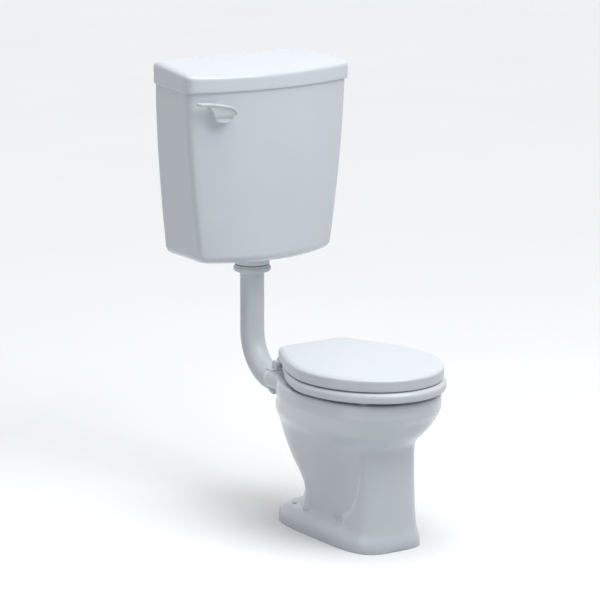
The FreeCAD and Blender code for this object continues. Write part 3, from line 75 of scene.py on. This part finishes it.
# The finish of each material slot: how its two colours drift, how rough it is, the relief of its skin
# (scales per metre, heights in metres), and what else its shader is set to
FINISHES = {
    # Vitreous glaze: a clear hard coat over a cool white body, slightly wavy where it ran
    "glaze": {
        "name": "white_glaze",
        "mottle": {"Colour": GLAZE_COLOUR, "Shade": GLAZE_SHADE, "Scale": 5.0, "Edge": 0.5},
        "gloss": {"Smooth": 0.20, "Rough": 0.25, "Scale": 7.0},
        "skin": {"Wave Scale": 16.0, "Wave Height": 0.0005, "Skin Scale": 260.0, "Skin Height": 0.00003},
        "shader": {"Coat Weight": 0.5, "Coat Roughness": 0.06},
    },
    # Thick moulded plastic with a polished face
    "seat_white": {
        "name": "seat_plastic",
        "mottle": {"Colour": SEAT_COLOUR, "Shade": SEAT_SHADE, "Scale": 3.0, "Edge": 0.4},
        "gloss": {"Smooth": 0.27, "Rough": 0.31, "Scale": 5.0},
        "skin": {"Wave Scale": 30.0, "Wave Height": 0.0001, "Skin Scale": 900.0, "Skin Height": 0.00002},
        "shader": {},
    },
    # Thin moulded fittings: a little lighter, with a satin skin
    "fitting_white": {
        "name": "fitting_plastic",
        "mottle": {"Colour": FITTING_COLOUR, "Shade": FITTING_SHADE, "Scale": 14.0, "Edge": 0.6},
        "gloss": {"Smooth": 0.30, "Rough": 0.45, "Scale": 40.0},
        "skin": {"Wave Scale": 60.0, "Wave Height": 0.0002, "Skin Scale": 1500.0, "Skin Height": 0.00002},
        "shader": {},
    },
    # Washers, seals and diaphragms: dull and almost black
    "seal_rubber": {
        "name": "seal_rubber",
        "mottle": {"Colour": RUBBER_COLOUR, "Shade": RUBBER_SHADE, "Scale": 60.0, "Edge": 0.2},
        "gloss": {"Smooth": 0.6, "Rough": 0.85, "Scale": 80.0},
        "skin": {"Wave Scale": 120.0, "Wave Height": 0.0001, "Skin Scale": 2500.0, "Skin Height": 0.00004},
        "shader": {},
    },
    # Pins, rods and screws: bare metal with fine turning marks
    "steel": {
        "name": "turned_steel",
        "mottle": {"Colour": STEEL_COLOUR, "Shade": STEEL_SHADE, "Scale": 90.0, "Edge": 0.5},
        "gloss": {"Smooth": 0.24, "Rough": 0.42, "Scale": 300.0},
        "skin": {"Wave Scale": 500.0, "Wave Height": 0.00002, "Skin Scale": 4000.0, "Skin Height": 0.00001},
        "shader": {"Metallic": 1},
    },
    # The ball float in the cistern: blown plastic with a satin skin
    "float_orange": {
        "name": "float_plastic",
        "mottle": {"Colour": FLOAT_COLOUR, "Shade": FLOAT_SHADE, "Scale": 30.0, "Edge": 0.3},
        "gloss": {"Smooth": 0.45, "Rough": 0.6, "Scale": 60.0},
        "skin": {"Wave Scale": 40.0, "Wave Height": 0.0003, "Skin Scale": 1200.0, "Skin Height": 0.00003},
        "shader": {},
    },
}
FLOOR_MOTTLE = {"Colour": FLOOR_COLOUR, "Shade": FLOOR_SHADE, "Scale": 1.5, "Edge": 0.0}
FLOOR_SHADER = {"Roughness": 0.9, "Specular IOR Level": 0.1}

# Values of noise and of pointedness that the finishes stretch to nought and one
DRIFT_BAND = (0.35, 0.65)
EDGE_BAND = (0.52, 0.60)
GLOSS_BAND = (0.3, 0.7)

# Studio light: a soft sky that is brightest overhead, one soft box high in front,
# a low fill card on the lever's side, and white walls all round
SKY_REST = 0.12
SKY_OVERHEAD = 4.2
SKY_FOCUS = 8.0
SKY_TINT = (0.97, 0.988, 1.0)
WALL_WHITE = 1.0
BOX_PLACE = Vector((0.35, -1.35, 2.35))
BOX_AIM = Vector((0.0, 0.15, 0.75))
BOX_SIZE = 1.3
BOX_POWER = 25
CARD_PLACE = Vector((-1.3, -0.5, 0.14))
CARD_AIM = Vector((0.0, -0.1, 0.35))
CARD_SIZE = 0.9
CARD_POWER = 2.2
FLOOR_HALF = 40

# The slip-cast pan, in metres: where its skin is run together, and what keeps its own form.
# Here and below, a pair that goes into smooth_step is where a fade begins and ends.
PAN_GRAIN = 0.003
PAN_ROUNDS = 100
CREASE_ROUNDS = 8
SKIN_ROUNDS = 3
RELAX_STEP = 0.5
FLOOR_EDGE = (0.008, 0.03)
FLOOR_LINE = (0.001, 0.004)
RIM_BAND = (0.302, 0.326)
SCREW_PLACE = (0.060, 0.078)
SCREW_CLEAR = (0.010, 0.020)
HORN_CLEAR = (0.14, 0.17)
FOOT_SHARE = 0.4
FOOT_FADE = (0.06, 0.10)

# The flat panel beside the trap: how far its crease reaches at each height, its half width from front
# to back, and how it fades out
CREASE_HEIGHT = (0.056, 0.064, 0.086, 0.105, 0.122, 0.222)
CREASE_REACH = (-0.119, -0.144, -0.179, -0.197, -0.206, -0.230)
CREASE_WIDTH = (-0.004, 0.005)
PANEL_ENDS = (-0.230, -0.110)
PANEL_HALF = (0.072, 0.080)
PANEL_BACK_FADE = (-0.120, -0.095)
PANEL_FOOT_FADE = (0.052, 0.070)
PANEL_TOP_FADE = (0.185, 0.240)
PANEL_SIDE_FADE = (0.064, 0.069)

# The heel's flare round the trap's upright leg
FLARE = 0.011
FLARE_FOOT = (0.046, 0.056)
FLARE_TOP = (0.055, 0.105)
FLARE_INNER = (0.058, 0.066)
FLARE_OUTER = (0.080, 0.095)
FLARE_FRONT = (-0.03, 0.0)
FLARE_BACK = (0.035, 0.055)

# The flush lever: its top edge as seen from the front, the ledge along it, and the scooped hub below
LEVER_GRAIN = 0.001
LEVER_ROUNDS = 5
LEVER_FACE = (0.3, 0.8)
TOP_ACROSS = (-0.068, -0.032, 0, 0.026, 0.037)
TOP_ABOVE = (0.028, 0.025, 0.019, 0.012, -0.002)
LEDGE_HEIGHT = (0.004, 0.008)
LEDGE_PROUD = 0.006
SCOOP_BELOW = (-0.012, 0, 0.008, 0.017, 0.022)
SCOOP_DEPTH = (0, 0.003, 0.0045, 0.011, 0)
SCOOP_LEFT = (-0.026, -0.014)
SCOOP_RIGHT = (0.018, 0.030)


# Single nodes
def noise_node(tree, detail):
    place = tree.nodes.new("ShaderNodeTexCoord")
    noise = tree.nodes.new("ShaderNodeTexNoise")
    noise.inputs["Detail"].default_value = detail
    tree.links.new(place.outputs["Object"], noise.inputs["Vector"])
    return noise


def spread_node(tree, low, high):
    """Stretches the values from low to high, to nought and one where nothing else is set."""
    spread = tree.nodes.new("ShaderNodeMapRange")
    spread.inputs["From Min"].default_value = low
    spread.inputs["From Max"].default_value = high
    return spread


def blend_node(tree):
    blend = tree.nodes.new("ShaderNodeMix")
    blend.data_type = "RGBA"
    return blend


def worked_out(tree, operation, first, second):
    """The output of one operation on two values, each a number or another node's output."""
    node = tree.nodes.new("ShaderNodeMath")
    node.operation = operation
    for socket, value in zip(node.inputs, (first, second)):
        if isinstance(value, (int, float)):
            socket.default_value = value
        else:
            tree.links.new(value, socket)
    return node.outputs["Value"]


# Node groups that the materials share
def new_group(name, colours, numbers, output_kind):
    group = bpy.data.node_groups.new(name, "ShaderNodeTree")
    for labels, kind in ((colours, "NodeSocketColor"), (numbers, "NodeSocketFloat")):
        for label in labels:
            group.interface.new_socket(label, in_out="INPUT", socket_type=kind)
    group.interface.new_socket("Result", in_out="OUTPUT", socket_type=output_kind)
    entry = group.nodes.new("NodeGroupInput")
    result = group.nodes.new("NodeGroupOutput")
    return group, entry, result


def mottle_group():
    """Two close colours that drift into each other, with the first one on the raised edges."""
    group, entry, result = new_group("Mottle", ("Colour", "Shade"), ("Scale", "Edge"), "NodeSocketColor")
    noise = noise_node(group, detail=4)
    spread = spread_node(group, *DRIFT_BAND)
    drift = blend_node(group)
    geometry = group.nodes.new("ShaderNodeNewGeometry")
    raised = spread_node(group, *EDGE_BAND)
    edges = blend_node(group)
    links = group.links
    links.new(entry.outputs["Scale"], noise.inputs["Scale"])
    links.new(noise.outputs["Fac"], spread.inputs["Value"])
    links.new(spread.outputs["Result"], drift.inputs["Factor"])
    links.new(entry.outputs["Shade"], drift.inputs["A"])
    links.new(entry.outputs["Colour"], drift.inputs["B"])
    links.new(geometry.outputs["Pointiness"], raised.inputs["Value"])
    share = worked_out(group, "MULTIPLY", raised.outputs["Result"], entry.outputs["Edge"])
    links.new(share, edges.inputs["Factor"])
    links.new(drift.outputs["Result"], edges.inputs["A"])
    links.new(entry.outputs["Colour"], edges.inputs["B"])
    links.new(edges.outputs["Result"], result.inputs["Result"])
    return group


def gloss_group():
    """Roughness that varies with wiping and handling."""
    group, entry, result = new_group("Gloss", (), ("Smooth", "Rough", "Scale"), "NodeSocketFloat")
    noise = noise_node(group, detail=6)
    spread = spread_node(group, *GLOSS_BAND)
    links = group.links
    links.new(entry.outputs["Scale"], noise.inputs["Scale"])
    links.new(noise.outputs["Fac"], spread.inputs["Value"])
    links.new(entry.outputs["Smooth"], spread.inputs["To Min"])
    links.new(entry.outputs["Rough"], spread.inputs["To Max"])
    links.new(spread.outputs["Result"], result.inputs["Result"])
    return group


def skin_group():
    """A slow waviness with a finer skin on top."""
    layers = ("Wave", "Skin")
    numbers = [f"{layer} {measure}" for layer in layers for measure in ("Scale", "Height")]
    group, entry, result = new_group("Skin", (), numbers, "NodeSocketVector")
    links = group.links
    previous = None
    for layer in layers:
        noise = noise_node(group, detail=2)
        bump = group.nodes.new("ShaderNodeBump")
        links.new(entry.outputs[f"{layer} Scale"], noise.inputs["Scale"])
        links.new(entry.outputs[f"{layer} Height"], bump.inputs["Distance"])
        links.new(noise.outputs["Fac"], bump.inputs["Height"])
        if previous:
            links.new(previous.outputs["Normal"], bump.inputs["Normal"])
        previous = bump
    links.new(previous.outputs["Normal"], result.inputs["Result"])
    return group


GROUPS = {"mottle": mottle_group(), "gloss": gloss_group(), "skin": skin_group()}


# Materials
def set_inputs(node, values):
    for label, value in values.items():
        node.inputs[label].default_value = value


def use_group(tree, name, target, values):
    node = tree.nodes.new("ShaderNodeGroup")
    node.node_tree = GROUPS[name]
    set_inputs(node, values)
    tree.links.new(node.outputs["Result"], target)


def new_material(name, values):
    material = bpy.data.materials.new(name)
    material.use_nodes = True
    shader = material.node_tree.nodes["Principled BSDF"]
    set_inputs(shader, values)
    return material, material.node_tree, shader


def finish_material(finish):
    material, tree, shader = new_material(finish["name"], finish["shader"])
    for group, target in (("mottle", "Base Color"), ("gloss", "Roughness"), ("skin", "Normal")):
        use_group(tree, group, shader.inputs[target], finish[group])
    return material


def seen_directly(tree):
    """One where the stage is seen by camera or reflection, nought where it only lights the object."""
    path = tree.nodes.new("ShaderNodeLightPath")
    total = path.outputs["Is Camera Ray"]
    for ray in ("Is Glossy Ray", "Is Transmission Ray"):
        total = worked_out(tree, "MAXIMUM", total, path.outputs[ray])
    return total


def floor_material():
    """A pale floor where it is seen, and a darker one where it throws light back on the object."""
    material, tree, shader = new_material("pale_floor", FLOOR_SHADER)
    seen = blend_node(tree)
    seen.inputs["A"].default_value = FLOOR_BOUNCE
    use_group(tree, "mottle", seen.inputs["B"], FLOOR_MOTTLE)
    tree.links.new(seen_directly(tree), seen.inputs["Factor"])
    tree.links.new(seen.outputs["Result"], shader.inputs["Base Color"])
    return material


MATERIALS = {slot: finish_material(finish) for slot, finish in FINISHES.items()}


def paint(piece, material):
    piece.data.materials.clear()
    piece.data.materials.append(material)


def paint_frame():
    for subpart in frame["record"]["subparts"]:
        paint(frame["nodes"][subpart["node"]], MATERIALS[subpart["material_slot"]])


# Objects
def new_object(name, data):
    thing = bpy.data.objects.new(name, data)
    bpy.context.scene.collection.objects.link(thing)
    return thing


def face(thing, direction):
    """Turns a light or a camera, which look down their own z, to look along a direction."""
    thing.rotation_euler = direction.to_track_quat("-Z", "Y").to_euler()


# Cast and moulded pieces: the frame's shape with its creases run together
def even_copy(node, name, grain):
    """A node's shape in small faces of even size."""
    piece = new_object(name, frame["nodes"][node].data.copy())
    remesh = piece.modifiers.new("even", "REMESH")
    remesh.mode = "VOXEL"
    remesh.voxel_size = grain
    solid = piece.evaluated_get(bpy.context.evaluated_depsgraph_get())
    mesh = bpy.data.meshes.new_from_object(solid)
    piece.modifiers.clear()
    piece.data = mesh
    return piece


def smooth_step(low, high, value):
    share = np.clip((value - low) / (high - low), 0, 1)
    return share * share * (3 - 2 * share)


def read_points(mesh):
    points = np.empty(len(mesh.vertices) * 3)
    mesh.vertices.foreach_get("co", points)
    return points.reshape(-1, 3)


def write_points(mesh, points):
    mesh.vertices.foreach_set("co", points.ravel())
    mesh.update()


def relax(mesh, points, weight, rounds):
    """Moves every point towards the middle of its neighbours, as far as its weight says."""
    ends = np.empty(len(mesh.edges) * 2, dtype=np.int64)
    mesh.edges.foreach_get("vertices", ends)
    first, second = ends.reshape(-1, 2).T
    count = np.bincount(ends, minlength=len(points))
    for _ in range(rounds):
        middle = np.empty_like(points)
        for axis in range(3):
            total = np.bincount(first, weights=points[second, axis], minlength=len(points))
            total += np.bincount(second, weights=points[first, axis], minlength=len(points))
            middle[:, axis] = total / count
        points = points + (RELAX_STEP * weight)[:, None] * (middle - points)
    return points


def finish_piece(piece, node, body, slot):
    piece.data.polygons.foreach_set("use_smooth", [True] * len(piece.data.polygons))
    paint(piece, MATERIALS[slot])
    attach(piece, body)
    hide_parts(node)


def panel_sides(points):
    """The flat panel beside the trap runs forward to a crease that leans back and rounds into the foot."""
    x, y, z = points.T
    crease = np.interp(z, CREASE_HEIGHT, CREASE_REACH)
    flat = np.interp(y, PANEL_ENDS, PANEL_HALF)
    share = smooth_step(*CREASE_WIDTH, y - crease) * (1 - smooth_step(*PANEL_BACK_FADE, y))
    share *= smooth_step(*PANEL_FOOT_FADE, z) * (1 - smooth_step(*PANEL_TOP_FADE, z))
    share *= smooth_step(*PANEL_SIDE_FADE, np.abs(x))
    moved = points.copy()
    moved[:, 0] += np.sign(x) * share * (flat - np.abs(x))
    return moved


def flare_heel(points):
    """The upright leg of the trap spreads where it stands on the heel of the foot."""
    x, y, z = points.T
    out = np.hypot(x, y)
    share = smooth_step(*FLARE_FOOT, z) * (1 - smooth_step(*FLARE_TOP, z))
    share *= smooth_step(*FLARE_INNER, out) * (1 - smooth_step(*FLARE_OUTER, out))
    share *= smooth_step(*FLARE_FRONT, y) * (1 - smooth_step(*FLARE_BACK, y))
    moved = points.copy()
    moved[:, :2] += (FLARE * share / np.maximum(out, FLARE_INNER[0]))[:, None] * points[:, :2]
    return moved


def cast_pan():
    """Column, foot and trap run into each other as on slip-cast ware; rim, floor edge and holes stay."""
    piece = even_copy("pan", "cast_pan", PAN_GRAIN)
    points = read_points(piece.data)
    x, y, z = points.T
    near_screw = np.hypot(np.abs(x) - SCREW_PLACE[0], y - SCREW_PLACE[1])
    weight = smooth_step(*FLOOR_EDGE, z) * (1 - smooth_step(*RIM_BAND, z))
    weight *= smooth_step(*SCREW_CLEAR, near_screw) * (1 - smooth_step(*HORN_CLEAR, y))
    weight *= FOOT_SHARE + (1 - FOOT_SHARE) * smooth_step(*FOOT_FADE, z)
    points = relax(piece.data, points, weight, PAN_ROUNDS)
    points = relax(piece.data, flare_heel(panel_sides(points)), weight, CREASE_ROUNDS)
    points = relax(piece.data, points, smooth_step(*FLOOR_LINE, points[:, 2]), SKIN_ROUNDS)
    write_points(piece.data, points)
    finish_piece(piece, "pan", "base", "glaze")


def moulded_lever():
    """The flush lever: a rounded ledge along the top, and below it a hub scooped deeper towards its lip."""
    low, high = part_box("lever_handle")
    piece = even_copy("lever_handle", "moulded_lever", LEVER_GRAIN)
    points = read_points(piece.data)
    hub_low, hub_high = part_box("lever_bush")
    across = points[:, 0] - (hub_low[0] + hub_high[0]) / 2
    above = points[:, 2] - (hub_low[2] + hub_high[2]) / 2
    front = 1 - smooth_step(*LEVER_FACE, (points[:, 1] - low[1]) / (high[1] - low[1]))
    top = np.interp(across, TOP_ACROSS, TOP_ABOVE)
    ledge = 1 - smooth_step(*LEDGE_HEIGHT, top - above)
    scoop = np.interp(-above, SCOOP_BELOW, SCOOP_DEPTH)
    scoop *= smooth_step(*SCOOP_LEFT, across) * (1 - smooth_step(*SCOOP_RIGHT, across))
    points[:, 1] += front * (scoop * (1 - ledge) - LEDGE_PROUD * ledge)
    points = relax(piece.data, points, front, LEVER_ROUNDS)
    write_points(piece.data, points)
    finish_piece(piece, "lever_handle", "lever", "seat_white")


# Stage
def add_floor():
    corners = [(side * FLOOR_HALF, end * FLOOR_HALF, 0) for side, end in ((-1, -1), (1, -1), (1, 1), (-1, 1))]
    mesh = bpy.data.meshes.new("floor")
    mesh.from_pydata(corners, [], [(0, 1, 2, 3)])
    floor = new_object("floor", mesh)
    paint(floor, floor_material())


def add_sky():
    world = bpy.data.worlds.new("studio")
    world.use_nodes = True
    bpy.context.scene.world = world
    tree = world.node_tree
    background = tree.nodes["Background"]
    background.inputs["Color"].default_value = (*SKY_TINT, 1)
    place = tree.nodes.new("ShaderNodeTexCoord")
    parts = tree.nodes.new("ShaderNodeSeparateXYZ")
    tree.links.new(place.outputs["Generated"], parts.inputs["Vector"])
    height = worked_out(tree, "MAXIMUM", parts.outputs["Z"], 0.0)
    focus = worked_out(tree, "POWER", height, SKY_FOCUS)
    overhead = worked_out(tree, "MULTIPLY", focus, SKY_OVERHEAD)
    light = worked_out(tree, "ADD", overhead, SKY_REST)
    walls = worked_out(tree, "MULTIPLY", seen_directly(tree), WALL_WHITE)
    tree.links.new(worked_out(tree, "MAXIMUM", light, walls), background.inputs["Strength"])


def add_soft_light(name, place, aim, size, power):
    data = bpy.data.lights.new(name, "AREA")
    data.size = size
    data.energy = power
    data.color = SKY_TINT
    light = new_object(name, data)
    light.location = place
    face(light, aim - place)


def add_camera():
    data = bpy.data.cameras.new("photo_camera")
    data.lens = CAMERA_LENS
    data.sensor_width = CAMERA_SENSOR
    data.clip_end = CAMERA_FAR
    camera = new_object("photo_camera", data)
    turn = math.radians(CAMERA_AZIMUTH)
    rise = math.radians(CAMERA_ELEVATION)
    back = Vector((math.sin(turn) * math.cos(rise), -math.cos(turn) * math.cos(rise), math.sin(rise)))
    camera.location = CAMERA_TARGET + back * CAMERA_DISTANCE
    face(camera, -back)
    bpy.context.scene.camera = camera


paint_frame()
cast_pan()
moulded_lever()
add_floor()
add_sky()
add_soft_light("soft_box", BOX_PLACE, BOX_AIM, BOX_SIZE, BOX_POWER)
add_soft_light("fill_card", CARD_PLACE, CARD_AIM, CARD_SIZE, CARD_POWER)
add_camera()
bpy.context.scene.view_settings.view_transform = "Standard"
